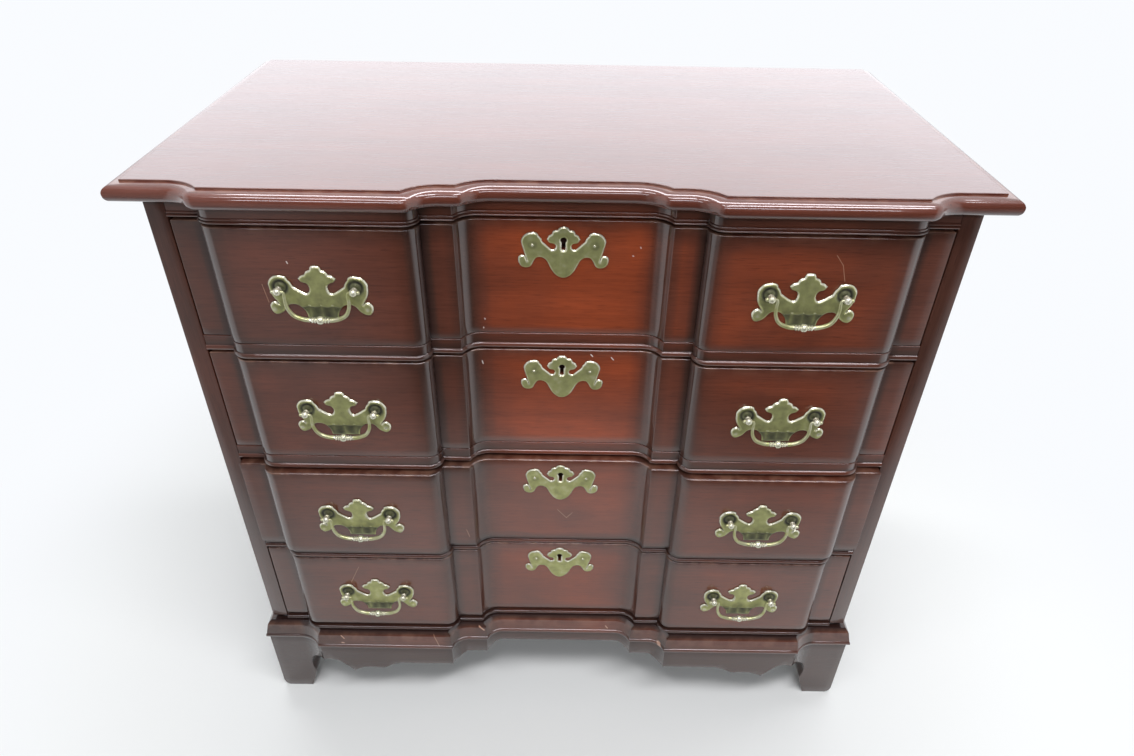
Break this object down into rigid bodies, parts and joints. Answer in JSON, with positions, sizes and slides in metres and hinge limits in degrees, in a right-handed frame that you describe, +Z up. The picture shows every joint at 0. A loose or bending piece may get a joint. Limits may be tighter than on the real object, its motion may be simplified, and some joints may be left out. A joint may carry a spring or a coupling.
{
  "type": "chest of drawers",
  "caption": "Block-front chest of drawers in dark mahogany: blocked drawer fronts between beaded rails, moulded top, bracket feet, brass bail pulls.",
  "frame": {"origin": "centre of the bounding box's footprint, on the floor under the feet", "axes": "+X to the chest's right as seen from the front, +Y to its back, +Z up; the drawers slide out along -Y"},
  "size_m": [0.9128, 0.5146, 0.8516],
  "materials": {
    "mahogany": "satin-gloss dark mahogany, toned almost black at edges and returns",
    "top_mahogany": "polished dark mahogany top with a glossy lacquer",
    "inside_wood": "plain unfinished secondary wood of drawer sides, bottoms, dust boards and back",
    "aged_brass": "antique olive-green brass, brighter on its edges"
  },
  "bodies": {
    "carcase": {"top": "top_mahogany", "side_panel_left": "mahogany", "side_panel_right": "mahogany", "stile_left": "mahogany", "stile_right": "mahogany", "back_panel": "inside_wood", "frieze_rail": "mahogany", "divider_rail_1": "mahogany", "divider_rail_2": "mahogany", "divider_rail_3": "mahogany", "dust_board_1": "inside_wood", "dust_board_2": "inside_wood", "dust_board_3": "inside_wood", "bottom_board": "mahogany", "base_moulding_front": "mahogany", "base_moulding_left": "mahogany", "base_moulding_right": "mahogany", "apron_front": "mahogany", "apron_left": "mahogany", "apron_right": "mahogany"},
    "drawer_1": {"drawer_1_front": "mahogany", "drawer_1_side_left": "inside_wood", "drawer_1_side_right": "inside_wood", "drawer_1_back": "inside_wood", "drawer_1_bottom": "inside_wood", "drawer_1_pull_plate_left": "aged_brass", "drawer_1_pull_plate_right": "aged_brass", "drawer_1_escutcheon": "aged_brass"},
    "bail_1_left": {"drawer_1_bail_left": "aged_brass"},
    "bail_1_right": {"drawer_1_bail_right": "aged_brass"},
    "drawer_2": {"drawer_2_front": "mahogany", "drawer_2_side_left": "inside_wood", "drawer_2_side_right": "inside_wood", "drawer_2_back": "inside_wood", "drawer_2_bottom": "inside_wood", "drawer_2_pull_plate_left": "aged_brass", "drawer_2_pull_plate_right": "aged_brass", "drawer_2_escutcheon": "aged_brass"},
    "bail_2_left": {"drawer_2_bail_left": "aged_brass"},
    "bail_2_right": {"drawer_2_bail_right": "aged_brass"},
    "drawer_3": {"drawer_3_front": "mahogany", "drawer_3_side_left": "inside_wood", "drawer_3_side_right": "inside_wood", "drawer_3_back": "inside_wood", "drawer_3_bottom": "inside_wood", "drawer_3_pull_plate_left": "aged_brass", "drawer_3_pull_plate_right": "aged_brass", "drawer_3_escutcheon": "aged_brass"},
    "bail_3_left": {"drawer_3_bail_left": "aged_brass"},
    "bail_3_right": {"drawer_3_bail_right": "aged_brass"},
    "drawer_4": {"drawer_4_front": "mahogany", "drawer_4_side_left": "inside_wood", "drawer_4_side_right": "inside_wood", "drawer_4_back": "inside_wood", "drawer_4_bottom": "inside_wood", "drawer_4_pull_plate_left": "aged_brass", "drawer_4_pull_plate_right": "aged_brass", "drawer_4_escutcheon": "aged_brass"},
    "bail_4_left": {"drawer_4_bail_left": "aged_brass"},
    "bail_4_right": {"drawer_4_bail_right": "aged_brass"}
  },
  "joints": [
    {"name": "drawer_1_slide", "type": "slide", "parent": "carcase", "child": "drawer_1", "axis": [0, -1, 0], "range_m": [0, 0.32]},
    {"name": "bail_1_left_hinge", "type": "hinge", "parent": "drawer_1", "child": "bail_1_left", "pos_m": [-0.2614, -0.2439, 0.73841], "axis": [-1, 0, 0], "range_deg": [0, 95]},
    {"name": "bail_1_right_hinge", "type": "hinge", "parent": "drawer_1", "child": "bail_1_right", "pos_m": [0.2614, -0.2439, 0.73841], "axis": [-1, 0, 0], "range_deg": [0, 95]},
    {"name": "drawer_2_slide", "type": "slide", "parent": "carcase", "child": "drawer_2", "axis": [0, -1, 0], "range_m": [0, 0.32]},
    {"name": "bail_2_left_hinge", "type": "hinge", "parent": "drawer_2", "child": "bail_2_left", "pos_m": [-0.2614, -0.2439, 0.57374], "axis": [-1, 0, 0], "range_deg": [0, 95]},
    {"name": "bail_2_right_hinge", "type": "hinge", "parent": "drawer_2", "child": "bail_2_right", "pos_m": [0.2614, -0.2439, 0.57374], "axis": [-1, 0, 0], "range_deg": [0, 95]},
    {"name": "drawer_3_slide", "type": "slide", "parent": "carcase", "child": "drawer_3", "axis": [0, -1, 0], "range_m": [-0.009, 0.311]},
    {"name": "bail_3_left_hinge", "type": "hinge", "parent": "drawer_3", "child": "bail_3_left", "pos_m": [-0.2614, -0.2529, 0.40906], "axis": [-1, 0, 0], "range_deg": [0, 95]},
    {"name": "bail_3_right_hinge", "type": "hinge", "parent": "drawer_3", "child": "bail_3_right", "pos_m": [0.2614, -0.2529, 0.40906], "axis": [-1, 0, 0], "range_deg": [0, 95]},
    {"name": "drawer_4_slide", "type": "slide", "parent": "carcase", "child": "drawer_4", "axis": [0, -1, 0], "range_m": [0, 0.32]},
    {"name": "bail_4_left_hinge", "type": "hinge", "parent": "drawer_4", "child": "bail_4_left", "pos_m": [-0.2614, -0.2439, 0.24439], "axis": [-1, 0, 0], "range_deg": [0, 95]},
    {"name": "bail_4_right_hinge", "type": "hinge", "parent": "drawer_4", "child": "bail_4_right", "pos_m": [0.2614, -0.2439, 0.24439], "axis": [-1, 0, 0], "range_deg": [0, 95]}
  ]
}
